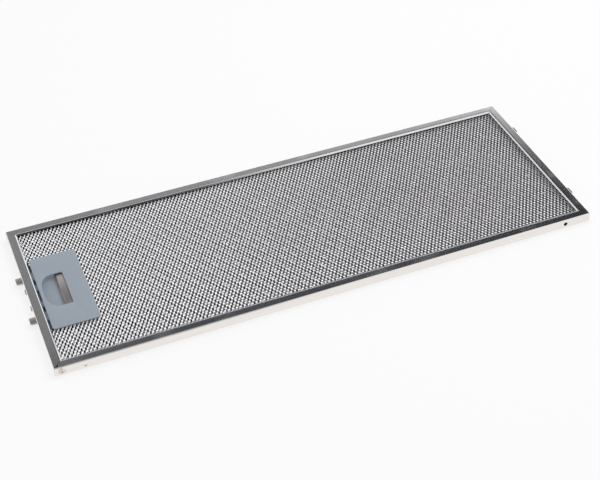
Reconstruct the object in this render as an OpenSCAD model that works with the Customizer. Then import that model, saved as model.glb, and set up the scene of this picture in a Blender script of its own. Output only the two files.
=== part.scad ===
// Cooker hood grease filter: a folded metal frame that clamps a stack of
// expanded and crimped mesh layers, with a sprung finger latch at one end
// and two fixed hook tabs at the other.
// X runs along the filter from the latch to the hooks, Y across it, Z up.
// The filter lies on its back face, with the finger scoop on top.

/* [Frame] */
// Length of the frame, without the tongues and hooks
frame_l = 470; // [320:1:600]
// Width of the frame
frame_w = 175.5; // [150:0.5:320]
// Depth of the frame from back face to front face
frame_h = 8.5; // [8.3:0.1:12]
// Thickness of the folded strip
strip_t = 0.5; // [0.4:0.05:0.6]
// Width of each flange up to the bend of its lip
flange_w = 7.2; // [5.5:0.1:7.6]
// How far each lip leans inwards past the flange
lip_run = 1.2; // [0.8:0.1:1.5]
// How far each lip dips towards the mesh
lip_drop = 1.2; // [0.9:0.1:1.3]
// Outside radius of every fold
fold_r = 0.9; // [0.8:0.05:1.1]
// Hairline gap where two flanges meet at a mitre
mitre_gap = 0.12; // [0.06:0.02:0.3]
// Length of the wedge that gapes at the closing corner
gape_l = 5; // [3:0.5:6]
// Width of that wedge at its outer end
gape_w = 2; // [1:0.1:2.6]
// Length of the strip's own end that tucks in behind the front wall
tuck_l = 31; // [28:1:40]
// Width of that tucked end
tuck_w = 5.6; // [5:0.1:6]

/* [Wall holes and rivet] */
// Diameter of the round holes in the long walls
hole_d = 3.6; // [2.5:0.1:4.5]
// Distance of each hole from the end of the frame
hole_inset = 24; // [16:0.5:26]
// Diameter of the corner rivet's shank
rivet_d = 3.2; // [2.4:0.1:3.6]
// Diameter of the rivet's domed head
rivet_head_d = 6; // [5:0.1:6.6]
// Height of the rivet's domed head
rivet_head_h = 1; // [0.7:0.1:1.4]
// Diameter of the rivet's open bore
rivet_bore_d = 1.5; // [1:0.1:1.8]
// Distance of the rivet from the end of the frame
rivet_inset = 5.8; // [5:0.1:8]

/* [Mesh] */
// Thickness of the front and back mesh sheets
mesh_t = 1; // [0.7:0.1:1.2]
// Thickness of the sheet's web between its strands
web_t = 0.35; // [0.25:0.05:0.5]
// Short width of one real diamond, along the filter
diamond_x = 3.33; // [3:0.01:4.5]
// Long width of one real diamond, across the filter
diamond_y = 5.56; // [5:0.01:7.5]
// Real diamonds along each side of one drawn diamond
mesh_group = 5; // [5:1:8]
// Width of a drawn strand
strand_w = 2.8; // [2:0.1:4]
// Every this many columns, the drawn diamonds are open gaps
open_every = 3; // [3:1:6]
// Gap between the mesh stack and the outside of the frame
stack_inset = 2.3; // [2.2:0.1:3]
// Thickness of the foil in the crimped inner layers
foil_t = 0.2; // [0.15:0.01:0.25]
// Length of one crimp wave
crimp_pitch = 9; // [7:0.5:14]

/* [Handle] */
// Length of the handle plate along the filter
plate_l = 39; // [37.5:0.5:46]
// Width of the handle plate across the filter
plate_w = 88.5; // [88:0.5:110]
// Thickness of the handle plate's skin
plate_t = 1; // [0.9:0.05:1.2]
// Corner radius of the handle plate
plate_r = 2.2; // [1.5:0.1:3]
// Distance from the frame's end to the handle plate
plate_inset = 10; // [9.8:0.1:14]
// How far the plate and the tray floor overlap the mesh
rim_overlap = 2; // [1.6:0.1:2.4]
// Width of the finger slot
slot_w = 6.7; // [6:0.1:7.5]
// Length of the finger slot and of the scoop
slot_l = 39.5; // [34:0.5:40]
// Corner radius of the finger slot
slot_r = 1; // [0.6:0.1:1.5]
// How far the finger scoop reaches out from the slot
scoop_reach = 13.1; // [12:0.1:14]
// Depth of the finger scoop below the plate's face
scoop_depth = 5.3; // [4.9:0.05:5.35]
// Squareness of the scoop's outline, where 2 is an ellipse
scoop_power = 2.8; // [2.2:0.1:3.4]
// Wall thickness of the scoop
scoop_wall = 0.9; // [0.7:0.05:0.95]
// Thickness of the tray's floor and walls
tray_t = 1; // [0.9:0.05:1.1]

/* [Latch] */
// Thickness of the latch slider's sheet
slider_t = 1.5; // [1.2:0.05:1.6]
// Width of each tongue
tongue_w = 7; // [6:0.1:7.2]
// How far each tongue stands out of the frame
tongue_reach = 4.9; // [4:0.1:5.2]
// Height of the ramp under the tip of each tongue
tongue_ramp = 0.7; // [0.4:0.1:0.8]
// Play all round a tongue in its slot
latch_play = 0.3; // [0.2:0.05:0.35]
// How far the slider draws back
latch_travel = 5.4; // [5.3:0.1:5.6]
// Gap between the finger bar and the underside of the plate
bar_gap = 0.2; // [0.1:0.02:0.26]
// Distance between the two snap lugs
lug_pitch = 21; // [19:0.5:24]
// Width of each snap lug
lug_w = 4; // [3:0.1:5]
// How far each snap lug stands out of the frame
lug_reach = 0.6; // [0.3:0.1:0.8]

/* [Springs and screws] */
// Outside diameter of each latch spring
spring_d = 4; // [3.6:0.1:4.1]
// Wire diameter of each latch spring
spring_wire = 0.6; // [0.4:0.05:0.65]
// Number of turns in each latch spring
spring_turns = 9; // [7:1:12]
// Diameter of the tray screws' shanks
screw_d = 2.2; // [1.8:0.1:2.4]
// Diameter of the tray screws' heads
screw_head_d = 4.2; // [3.8:0.1:4.4]

/* [Hook tabs] */
// Width of each hook tab
hook_w = 8.8; // [7:0.1:10]
// How far each hook tab stands out of the frame
hook_reach = 3.6; // [3:0.1:4.5]
// Distance between the two hook tabs
hook_pitch = 99; // [80:1:110]
// Thickness of the hook tabs
hook_t = 1.2; // [1:0.1:1.5]
// Length of the crossbar that keeps a hook in the channel
hook_bar_l = 18; // [15:0.5:24]

/* [Hidden] */

$fn = 48;
eps = 0.01;          // Overshoot of a cutting tool past a face
fit_gap = 0.05;      // Gap between pieces that are clamped or pressed together
bend_steps = 4;      // Flat steps that draw one fold
corner_steps = 6;    // Flat steps that draw one rounded corner
fold_inner_r = fold_r - strip_t;
lip_angle = atan(lip_drop / lip_run);
lip_end = flange_w + lip_run;
upright_r = 1;       // Outside radius of the frame's four upright corners
half_l = frame_l / 2;
half_w = frame_w / 2;
mid_z = frame_h / 2;

// The part's origin is under the middle of its whole outline, rivet head,
// tongues and hooks included, so the frame sits a little off it.
origin_x = (tongue_reach - hook_reach) / 2;
rivet_dome_r = (pow(rivet_head_d / 2, 2) + pow(rivet_head_h, 2)) / (2 * rivet_head_h);
rivet_proud = sqrt(pow(rivet_dome_r, 2) - pow(rivet_bore_d / 2, 2)) + rivet_head_h - rivet_dome_r;
origin_y = rivet_proud / 2;

// The strip's tucked end lies right behind the front wall, and the corner
// rivet clamps the two together, clear of the mesh stack.
tuck_y = -half_w + strip_t + fit_gap;
rivet_grip = 2 * strip_t + fit_gap;
rivet_tail_h = stack_inset - rivet_grip - 0.2;
rivet_tail_r = rivet_d / 2 + 0.6;

// The mesh stack fills the space between the upper and the lower lips.
inner_layers = 5;
layer_gap = 0.03;    // Space between one mesh layer and the next
stack_top = frame_h - lip_drop - strip_t * cos(lip_angle) - fit_gap;
stack_bottom = frame_h - stack_top;
layer_t = (stack_top - stack_bottom - 2 * mesh_t - (inner_layers + 1) * layer_gap) / inner_layers;
stack_l = frame_l - 2 * stack_inset;
stack_w = frame_w - 2 * stack_inset;

// Drawn diamonds stand on half steps of the lattice.
step_x = diamond_x * mesh_group / 2;
step_y = diamond_y * mesh_group / 2;
opening = 1 - strand_w / 2 * norm([step_x, step_y]) / (step_x * step_y);
open_edge = 1.5;     // Least web between an open diamond and the sheet's edge

// Levels of the handle, from the back face up.
plate_top = stack_top + plate_t;
plate_chamfer = 0.35;
scoop_floor = plate_top - scoop_depth;
tray_bottom = stack_bottom - tray_t;
bar_top = stack_top - bar_gap;

// Handle plan, along X from the frame's own middle.
tray_inset = 0.6;    // Plate edge to tray wall on the latch side
scoop_gap = 0.5;     // Scoop wall to tray wall
notch_gap = 0.3;     // Tray wall to the cut mesh round it
plate_x0 = -half_l + plate_inset;
plate_x1 = plate_x0 + plate_l;
tray_x0 = plate_x0 + tray_inset;
tray_x1 = plate_x1 - rim_overlap;
tray_half_w = plate_w / 2 - rim_overlap;
slot_x0 = tray_x0 + tray_t + scoop_gap + scoop_wall + scoop_reach;
slot_x1 = slot_x0 + slot_w;

// Latch plan: the arms run outside the scoop, the springs outside the arms.
arm_gap = 1.05;      // Scoop wall to arm
spring_gap = 0.9;    // Arm to spring
tongue_y = slot_l / 2 + scoop_wall + arm_gap + tongue_w / 2;
spring_y = tongue_y + tongue_w / 2 + spring_gap + spring_d / 2;
bridge_x1 = slot_x1 + 4.6;
bar_x0 = slot_x0 + 0.15;
bar_reach = 0.9;     // How far the finger bar runs on under the plate
bar_half_l = slot_l / 2 - 0.75;
ear_l = 6.4;         // Length of the ear that pushes on a spring
ear_x0 = tray_x0 + tray_t + 0.3;
ear_x1 = ear_x0 + ear_l;
prong_l = 3;         // Prong and peg that centre a spring at its two ends
spring_bore = spring_d - 2 * spring_wire - 0.4;
prong_w = sqrt(pow(spring_bore, 2) - pow(slider_t, 2));
seat_x = bridge_x1 + 2.6;
seat_t = 1.2;
neck_w = tongue_w + 2 * latch_play + 2 * tray_t;
neck_h = slider_t + 2 * latch_play + 1.6;
lug_h = 2.4;

// Two screws stand in the tray's corners away from the latch end, and two
// stand beside the corners of the scoop, between it and the arms.
boss_r = 2;
boss_gap = 0.4;
boss_inset = tray_t + boss_r + boss_gap;
boss_y = tongue_y - tongue_w / 2 - boss_gap - boss_r;
screw_l = stack_top - tray_bottom - 1.4;
screw_head_h = 0.8 * tray_t;
screw_spots = [
    for (s = [-1, 1]) [tray_x0 + boss_inset, s * boss_y],
    for (s = [-1, 1]) [tray_x1 - boss_inset, s * (tray_half_w - boss_inset)]
];

// Points along an arc about [cx, cy], from angle a0 to angle a1
function arc(cx, cy, r, a0, a1, steps) = [
    for (i = [0:steps]) let (a = a0 + (a1 - a0) * i / steps) [cx + r * cos(a), cy + r * sin(a)]
];

function reversed(points) = [for (i = [len(points) - 1:-1:0]) points[i]];

// Moves a piece from the frame's own middle to the part's origin
module placed() {
    translate([origin_x, origin_y, 0]) children();
}

// Box between two opposite corners
module box(low, high) {
    translate(low) cube(high - low);
}

module rounded_rectangle(long, wide, r) {
    polygon(concat(
        arc(long / 2 - r, wide / 2 - r, r, 0, 90, corner_steps),
        arc(r - long / 2, wide / 2 - r, r, 90, 180, corner_steps),
        arc(r - long / 2, r - wide / 2, r, 180, 270, corner_steps),
        arc(long / 2 - r, r - wide / 2, r, 270, 360, corner_steps)
    ));
}

// Section of the folded strip: x runs inwards from the outer wall, y up.
// The upper half is wall, fold, flange, softer fold and lip, and the lower
// half is its mirror image.
module strip_section() {
    bend_x = flange_w - fold_r * tan(lip_angle / 2);
    fold_z = frame_h - fold_r;
    upper = concat(
        arc(fold_r, fold_z, fold_r, 180, 90, bend_steps),
        arc(bend_x, fold_z, fold_r, 90, 90 - lip_angle, bend_steps),
        [[lip_end, frame_h - lip_drop]],
        [[lip_end - strip_t * sin(lip_angle), frame_h - lip_drop - strip_t * cos(lip_angle)]],
        arc(bend_x, fold_z, fold_inner_r, 90 - lip_angle, 90, bend_steps),
        arc(fold_r, fold_z, fold_inner_r, 90, 180, bend_steps)
    );
    lower = [for (p = reversed(upper)) [p.x, frame_h - p.y]];
    polygon(concat(upper, lower));
}

// One side of the frame along X, with its outer wall at y = -wide / 2 and
// both ends cut to 45 degrees, a hair long so that the walls join
module rail(long, wide) {
    reach = lip_end + 2;
    end = long / 2 + mitre_gap / 2;
    intersection() {
        translate([-long / 2, -wide / 2, 0])
            rotate([90, 0, 90]) linear_extrude(long) strip_section();
        translate([0, 0, -1]) linear_extrude(frame_h + 2) polygon([
            [-end, -wide / 2], [end, -wide / 2], [end - reach, reach - wide / 2], [reach - end, reach - wide / 2]
        ]);
    }
}

// Hairline cut along the mitre of one corner, through both flanges
module mitre_cut(sx, sy) {
    start = sqrt(2) * (fold_r + 0.1);
    tall = strip_t + lip_drop + 1;
    translate([sx * half_l, sy * half_w, 0]) rotate([0, 0, atan2(-sy, -sx)])
        for (z = [-1, frame_h + 1 - tall])
            translate([start, -mitre_gap / 2, z]) cube([2 * lip_end, mitre_gap, tall]);
}

// The closing corner, where the two ends of the strip meet: the front
// flange's end falls short of the mitre in a wedge, and an upright slit
// parts the front wall from the end wall.
module closing_corner_cut() {
    start = fold_r + 0.1;
    translate([-half_l, -half_w, 0]) {
        for (z = [-1, frame_h - strip_t - eps])
            translate([0, 0, z]) linear_extrude(strip_t + 1 + eps)
                polygon([[start, start], [start + gape_w, start], [start + gape_l, start + gape_l]]);
        translate([-1, strip_t, -1]) cube([1 + fold_r, fit_gap, frame_h + 2]);
    }
}

// Slots and holes through the outer walls
module wall_cuts() {
    tongue_slot = [2, tongue_w + 2 * latch_play, slider_t + 2 * latch_play];
    lug_slot = [2, lug_w + 2 * fit_gap, lug_h + 2 * fit_gap];
    hook_slot = [2, hook_w + 2 * fit_gap, hook_t + 2 * fit_gap];
    for (s = [-1, 1]) {
        translate([-half_l, s * tongue_y, mid_z]) cube(tongue_slot, center = true);
        translate([-half_l, s * lug_pitch / 2, mid_z]) cube(lug_slot, center = true);
        translate([half_l, s * hook_pitch / 2, mid_z]) cube(hook_slot, center = true);
        for (t = [-1, 1])
            translate([s * (half_l - hole_inset), t * (half_w - strip_t - fit_gap / 2), mid_z])
                rotate([-90 * t, 0, 0]) cylinder(d = hole_d, h = 2);
    }
}

module frame() {
    color("silver") placed() difference() {
        union() {
            difference() {
                intersection() {
                    union() {
                        rail(frame_l, frame_w);
                        rotate([0, 0, 180]) rail(frame_l, frame_w);
                        rotate([0, 0, 90]) rail(frame_w, frame_l);
                        rotate([0, 0, -90]) rail(frame_w, frame_l);
                    }
                    translate([0, 0, -1]) linear_extrude(frame_h + 2)
                        rounded_rectangle(frame_l, frame_w, upright_r);
                }
                for (sx = [-1, 1], sy = [-1, 1]) mitre_cut(sx, sy);
                closing_corner_cut();
                wall_cuts();
            }
            box([strip_t / 2 - half_l, tuck_y, mid_z - tuck_w / 2],
                [tuck_l - half_l, tuck_y + strip_t, mid_z + tuck_w / 2]);
        }
        translate([rivet_inset - half_l, -half_w - 1, mid_z])
            rotate([-90, 0, 0]) cylinder(d = rivet_d + 2 * fit_gap, h = rivet_grip + 1.5);
    }
}

// Blind rivet at the closing corner: a domed head with an open bore, a
// shank through both layers of strip and a flattened tail behind them
module corner_rivet() {
    head_r = rivet_head_d / 2;
    bore_r = rivet_bore_d / 2;
    dome = [
        for (i = [0:8]) let (r = head_r + (bore_r - head_r) * i / 8)
            [r, sqrt(pow(rivet_dome_r, 2) - pow(r, 2)) + rivet_head_h - rivet_dome_r]
    ];
    profile = concat(
        [[0, -rivet_grip - rivet_tail_h], [rivet_tail_r, -rivet_grip - rivet_tail_h]],
        [[rivet_tail_r, -rivet_grip], [rivet_d / 2, -rivet_grip], [rivet_d / 2, 0]],
        dome,
        [[bore_r, -rivet_grip], [0, -rivet_grip]]
    );
    color("gainsboro") placed() translate([rivet_inset - half_l, -half_w, mid_z])
        rotate([90, 0, 0]) rotate_extrude() polygon(profile);
}

// Everything that the handle takes out of the mesh stack
module handle_notch() {
    half = tray_half_w + notch_gap;
    box([-half_l - 1, -half, -1], [tray_x1 + notch_gap, half, frame_h + 1]);
}

// True where a drawn diamond lies wholly inside the sheet and off the notch
function is_inside(c) =
    let (rx = step_x * opening + open_edge, ry = step_y * opening + open_edge)
    abs(c.x) + rx < stack_l / 2 && abs(c.y) + ry < stack_w / 2
    && (c.x - rx > tray_x1 + notch_gap || abs(c.y) - ry > tray_half_w + notch_gap);

// Expanded sheet: a raised lattice of crossing strands on a thin web, with
// one diamond in open_every cut right through
module expanded_sheet() {
    columns = ceil(stack_l / (4 * step_x));
    rows = ceil(stack_w / (2 * step_y));
    difference() {
        translate([-stack_l / 2, -stack_w / 2, 0]) cube([stack_l, stack_w, mesh_t]);
        handle_notch();
        for (row = [-rows:rows], column = [-columns:columns]) {
            centre = [(2 * column + abs(row) % 2) * step_x, row * step_y];
            is_open = abs(2 * column + abs(row) % 2) % open_every == 0 && is_inside(centre);
            translate([centre.x, centre.y, is_open ? -1 : web_t]) linear_extrude(mesh_t + 2)
                scale(opening) polygon([[step_x, 0], [0, step_y], [-step_x, 0], [0, -step_y]]);
        }
    }
}

module front_mesh() {
    color("lightgray") placed() translate([0, 0, stack_top - mesh_t]) expanded_sheet();
}

module back_mesh() {
    color("darkgray") placed() translate([0, 0, stack_bottom + mesh_t])
        mirror([0, 0, 1]) expanded_sheet();
}

// Foil bent to and fro in a wave along X, centred in plan
module crimped_foil(long, wide) {
    waves = round(long / crimp_pitch);
    lower = [
        for (i = [0:2 * waves]) [(i / (2 * waves) - 0.5) * long, (i % 2) * (layer_t - foil_t)]
    ];
    upper = [for (p = reversed(lower)) [p.x, p.y + foil_t]];
    rotate([90, 0, 0]) linear_extrude(wide, center = true) polygon(concat(lower, upper));
}

// Inner layer, counted from the back: odd ones wave along the filter and
// even ones across it, so that grease meets a new edge in each
module inner_layer(n) {
    level = stack_bottom + mesh_t + layer_gap + (n - 1) * (layer_t + layer_gap);
    color("gray") placed() difference() {
        translate([0, 0, level])
            if (n % 2 == 1) crimped_foil(stack_l, stack_w);
            else rotate([0, 0, 90]) crimped_foil(stack_w, stack_l);
        handle_notch();
    }
}

// Half outline of the finger scoop, a squared half ellipse on the slot's
// latch side, grown by a wall
module scoop_outline(wall) {
    reach = scoop_reach + wall;
    half = slot_l / 2 + wall;
    translate([slot_x0, 0]) polygon([
        for (i = [0:28]) let (a = 90 + 180 * i / 28, c = abs(cos(a)), s = sin(a)) [
            -reach * pow(c, 2 / scoop_power),
            half * sign(s) * pow(abs(s), 2 / scoop_power)
        ]
    ]);
}

module slot_outline() {
    half = slot_l / 2;
    polygon(concat(
        [[slot_x0 - eps, half], [slot_x0 - eps, -half]],
        arc(slot_x1 - slot_r, slot_r - half, slot_r, 270, 360, corner_steps),
        arc(slot_x1 - slot_r, half - slot_r, slot_r, 0, 90, corner_steps)
    ));
}

// Bevel along the four upper edges of the plate
module plate_bevels() {
    turned = plate_chamfer * sqrt(2);
    for (x = [plate_x0, plate_x1])
        translate([x, 0, plate_top]) rotate([0, 45, 0]) cube([turned, plate_w + 2, turned], center = true);
    for (y = [-plate_w / 2, plate_w / 2])
        translate([(plate_x0 + plate_x1) / 2, y, plate_top]) rotate([45, 0, 0])
            cube([plate_l + 2, turned, turned], center = true);
}

// Handle plate: a skin over the tray, with the finger scoop moulded below
// it, a slide floor under the finger bar and four screw bosses
module handle_plate() {
    floor_low = scoop_floor - scoop_wall;
    color("lightslategray") placed() difference() {
        union() {
            translate([(plate_x0 + plate_x1) / 2, 0, stack_top]) linear_extrude(plate_t)
                rounded_rectangle(plate_l, plate_w, plate_r);
            translate([0, 0, floor_low]) linear_extrude(stack_top - floor_low + eps)
                scoop_outline(scoop_wall);
            box([slot_x0 - eps, -slot_l / 2 - scoop_wall, floor_low],
                [bridge_x1, slot_l / 2 + scoop_wall, scoop_floor]);
            for (spot = screw_spots)
                translate([spot.x, spot.y, stack_bottom + fit_gap])
                    cylinder(r = boss_r, h = stack_top - stack_bottom - fit_gap + eps);
        }
        plate_bevels();
        translate([0, 0, scoop_floor]) linear_extrude(scoop_depth + 1) scoop_outline(0);
        translate([0, 0, stack_top - eps]) linear_extrude(plate_t + 1) slot_outline();
        for (spot = screw_spots)
            translate([spot.x, spot.y, 0])
                cylinder(d = screw_d + 2 * fit_gap, h = tray_bottom + screw_l + 0.3);
    }
}

// Countersunk hole through the tray's floor
module screw_sink(grow) {
    translate([0, 0, tray_bottom])
        cylinder(r1 = screw_head_d / 2 + grow, r2 = screw_d / 2 + grow, h = screw_head_h);
}

// Handle tray: the floor that grips the back mesh, the wall round the
// latch, the shelf and necks that reach into the frame's channel, the two
// snap lugs, and the seats of the springs
module handle_tray() {
    channel_x = strip_t + fit_gap - half_l;
    arm_slot_w = tongue_w + 2 * latch_play;
    arm_slot_h = slider_t + 2 * latch_play;
    color("slategray") placed() difference() {
        union() {
            translate([(plate_x0 + plate_x1) / 2, 0, tray_bottom]) linear_extrude(tray_t)
                rounded_rectangle(plate_l, plate_w, plate_r);
            difference() {
                box([tray_x0, -tray_half_w, stack_bottom - eps], [tray_x1, tray_half_w, stack_top]);
                box([tray_x0 + tray_t, tray_t - tray_half_w, stack_bottom - 1],
                    [tray_x1 - tray_t, tray_half_w - tray_t, stack_top + 1]);
            }
            box([channel_x, -tray_half_w, stack_bottom], [tray_x0 + eps, tray_half_w, mid_z - neck_h / 2 + eps]);
            for (s = [-1, 1]) {
                translate([channel_x, s * tongue_y - neck_w / 2, mid_z - neck_h / 2])
                    cube([tray_x0 - channel_x + eps, neck_w, neck_h]);
                translate([channel_x, s * lug_pitch / 2 - lug_w / 2 - 1, mid_z - neck_h / 2])
                    cube([tray_x0 - channel_x + eps, lug_w + 2, neck_h]);
                translate([-half_l - lug_reach, s * lug_pitch / 2 - lug_w / 2, mid_z - lug_h / 2])
                    cube([strip_t + lug_reach + 2 * fit_gap, lug_w, lug_h]);
                spring_seat(s);
            }
        }
        for (s = [-1, 1])
            translate([channel_x - 1, s * tongue_y - arm_slot_w / 2, mid_z - arm_slot_h / 2])
                cube([tray_x0 + tray_t - channel_x + 2, arm_slot_w, arm_slot_h]);
        for (spot = screw_spots)
            translate([spot.x, spot.y, 0]) {
                cylinder(d = screw_d + 0.4, h = frame_h);
                screw_sink(fit_gap);
            }
    }
}

// Upright rib with a peg that holds the fixed end of one spring
module spring_seat(s) {
    half = spring_d / 2 + 0.5;
    box([seat_x, s * spring_y - half, stack_bottom - eps],
        [seat_x + seat_t, s * spring_y + half, mid_z + spring_d / 2]);
    translate([seat_x + eps, s * spring_y, mid_z]) rotate([0, -90, 0])
        cylinder(d = spring_bore, h = prong_l);
}

// Side view of one arm: flat, with an eased edge above the tongue's tip
// and a ramp below it
module arm_section() {
    tip = -half_l - tongue_reach;
    low = mid_z - slider_t / 2;
    high = mid_z + slider_t / 2;
    polygon([
        [tip, high - 0.3], [tip + 0.3, high], [bridge_x1, high], [bridge_x1, low],
        [tip + 2 * tongue_ramp, low], [tip, low + tongue_ramp]
    ]);
}

// Side view of the finger bar: the sheet is folded up from the bridge and
// hemmed back over it
module bar_section() {
    low = mid_z - slider_t / 2;
    bend = slider_t + 0.2;
    polygon(concat(
        [[bar_x0, low]],
        arc(bar_x0 + bend, bar_top - bend, bend, 180, 90, bend_steps),
        [[slot_x1 + bar_reach, bar_top], [slot_x1 + bar_reach, bar_top - slider_t]],
        [[bar_x0 + slider_t, bar_top - slider_t], [bar_x0 + slider_t, low]]
    ));
}

// Latch slider: two arms that end in the tongues, a bridge that joins them,
// the finger bar folded up from the bridge, and an ear and prong for each spring
module latch_slider() {
    low = mid_z - slider_t / 2;
    outer = tongue_y + tongue_w / 2;
    color("darkkhaki") placed() union() {
        for (s = [-1, 1]) {
            translate([0, s * tongue_y, 0]) rotate([90, 0, 0])
                linear_extrude(tongue_w, center = true) arm_section();
            translate([ear_x0, s * (outer + spring_y + spring_d / 2) / 2, mid_z])
                translate([(ear_x1 - ear_x0) / 2, 0, 0])
                    cube([ear_x1 - ear_x0, spring_y + spring_d / 2 - outer + 2 * eps, slider_t], center = true);
            translate([ear_x1 - eps, s * spring_y - prong_w / 2, low])
                cube([prong_l, prong_w, slider_t]);
        }
        box([bar_x0, -outer, low], [bridge_x1, outer, low + slider_t]);
        rotate([90, 0, 0]) linear_extrude(2 * bar_half_l, center = true) bar_section();
    }
}

// Coil spring along X between the slider's ear and the tray's seat: a round
// wire swept along a helix
module latch_spring(s) {
    sides = 6;
    rings = 14 * spring_turns;
    coil_r = (spring_d - spring_wire) / 2;
    x0 = ear_x1 + spring_wire / 2;
    x1 = seat_x - spring_wire / 2;
    points = [
        for (i = [0:rings], k = [0:sides - 1])
            let (turn = 360 * spring_turns * i / rings, a = 360 * k / sides,
                 r = coil_r + spring_wire / 2 * cos(a))
            [x0 + (x1 - x0) * i / rings + spring_wire / 2 * sin(a), r * cos(turn), r * sin(turn)]
    ];
    sides_faces = [
        for (i = [0:rings - 1], k = [0:sides - 1], half = [0, 1])
            let (a = i * sides + k, b = i * sides + (k + 1) % sides)
            half == 0 ? [a, b, b + sides] : [a, b + sides, a + sides]
    ];
    start_cap = [for (k = [1:sides - 2]) [0, k + 1, k]];
    end_cap = [for (k = [1:sides - 2]) [rings * sides, rings * sides + k, rings * sides + k + 1]];
    color("gainsboro") placed() translate([0, s * spring_y, mid_z])
        polyhedron(points, concat(sides_faces, start_cap, end_cap));
}

// Countersunk screw, driven from below through the tray into a boss
module tray_screw(n) {
    spot = screw_spots[n - 1];
    color("dimgray") placed() translate([spot.x, spot.y, 0]) difference() {
        union() {
            screw_sink(0);
            translate([0, 0, tray_bottom]) cylinder(d = screw_d, h = screw_l);
        }
        for (a = [0, 90])
            translate([0, 0, tray_bottom]) rotate([0, 0, a]) cube([0.6 * screw_head_d, 0.5, 0.8], center = true);
    }
}

// Hook tab: a flat T whose crossbar lies in the channel behind the end
// wall, with the stem out through its slot
module hook_tab(s) {
    bar_x1 = half_l - strip_t - fit_gap;
    bar_x0 = half_l - stack_inset + fit_gap;
    tip = half_l + hook_reach;
    half = hook_w / 2;
    cut = 0.4 * hook_reach;
    color("darkkhaki") placed() translate([0, s * hook_pitch / 2, mid_z - hook_t / 2])
        linear_extrude(hook_t) polygon([
            [bar_x0, -hook_bar_l / 2], [bar_x1, -hook_bar_l / 2], [bar_x1, -half],
            [tip - cut, -half], [tip, cut - half], [tip, half - cut], [tip - cut, half],
            [bar_x1, half], [bar_x1, hook_bar_l / 2], [bar_x0, hook_bar_l / 2]
        ]);
}

frame();
corner_rivet();
front_mesh();
back_mesh();
inner_layer(1);  // inner_layer_1
inner_layer(2);  // inner_layer_2
inner_layer(3);  // inner_layer_3
inner_layer(4);  // inner_layer_4
inner_layer(5);  // inner_layer_5
handle_plate();
handle_tray();
latch_slider();
latch_spring(-1);  // latch_spring_front
latch_spring(1);  // latch_spring_rear
tray_screw(1);  // tray_screw_1
tray_screw(2);  // tray_screw_2
tray_screw(3);  // tray_screw_3
tray_screw(4);  // tray_screw_4
hook_tab(-1);  // hook_tab_front
hook_tab(1);  // hook_tab_rear
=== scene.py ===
# %% [markdown]
# # A cooker hood filter
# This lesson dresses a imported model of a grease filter: a bright folded frame, sheets of expanded
# mesh, a moulded handle and a sprung latch. Every piece keeps its real place and size in metres,
# so nothing has to be fitted afterwards.

import bmesh
import bpy
import numpy as np
from mathutils import Matrix, Vector


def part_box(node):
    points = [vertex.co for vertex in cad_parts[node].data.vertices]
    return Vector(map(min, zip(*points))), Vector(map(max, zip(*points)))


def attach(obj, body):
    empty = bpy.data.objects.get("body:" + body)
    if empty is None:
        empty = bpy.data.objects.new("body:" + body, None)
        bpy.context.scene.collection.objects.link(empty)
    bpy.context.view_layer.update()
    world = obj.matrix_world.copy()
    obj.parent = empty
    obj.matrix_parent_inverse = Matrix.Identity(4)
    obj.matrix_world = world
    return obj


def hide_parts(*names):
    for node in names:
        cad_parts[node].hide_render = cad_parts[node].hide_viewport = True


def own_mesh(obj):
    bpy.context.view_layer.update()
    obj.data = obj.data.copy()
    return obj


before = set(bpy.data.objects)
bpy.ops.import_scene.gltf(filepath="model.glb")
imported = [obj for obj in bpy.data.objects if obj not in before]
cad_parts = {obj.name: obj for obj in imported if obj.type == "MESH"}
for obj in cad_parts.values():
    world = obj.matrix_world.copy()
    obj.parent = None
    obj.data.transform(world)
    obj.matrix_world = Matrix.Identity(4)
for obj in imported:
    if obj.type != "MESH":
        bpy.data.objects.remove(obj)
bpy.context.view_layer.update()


# %% [markdown]
# ## Sizes read from the model
# What the model can tell is measured on its nodes, so the dressing still fits if the model
# changes. What it can't tell, such as the run of a fold, is a named value in metres. The frame's
# box gives its middle: the tongues and hooks that stand out of it move the origin a little off it.

# %% Measure the frame and the handle plate
MM = 0.001


def corners(node):
    """The lowest and highest corner of a node, as arrays."""
    low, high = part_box(node)
    return np.array(low), np.array(high)


frame_low, frame_high = corners("frame")
middle = (frame_low + frame_high) / 2
length, width, depth = frame_high - frame_low
plate_low, plate_high = corners("handle_plate")
print("frame in mm", np.round(np.array([length, width, depth]) / MM, 2))

# %% [markdown]
# ## The camera
# The photograph looks down on the filter from above its riveted corner. A camera is a place and
# three directions, so its matrix is written straight from them: the view's azimuth is counted
# from +Y towards +X, its elevation down from the horizon, and its roll tips the right side down.
# The place is measured from the riveted corner of the frame's front face.

# %% Stand the camera where the photograph was taken
VIEW_AZIMUTH = 20.85
VIEW_ELEVATION = 40.76
VIEW_ROLL = 1.59
LENS = 77.4
CAMERA_FROM_CORNER = np.array([-65.1, -703.6, 709.7]) * MM


def view_axes(azimuth, elevation, roll):
    """Right, up and view directions. The view is sin(azimuth) cos(elevation) along X and
    cos(azimuth) cos(elevation) along Y. Right is level, then turned about the view by the roll."""
    azimuth, elevation, roll = np.radians([azimuth, elevation, roll])
    view = np.array(
        [np.sin(azimuth) * np.cos(elevation), np.cos(azimuth) * np.cos(elevation), -np.sin(elevation)]
    )
    level = np.array([np.cos(azimuth), -np.sin(azimuth), 0.0])
    upright = np.cross(level, view)
    right = level * np.cos(roll) - upright * np.sin(roll)
    return right, np.cross(right, view), view


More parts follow.
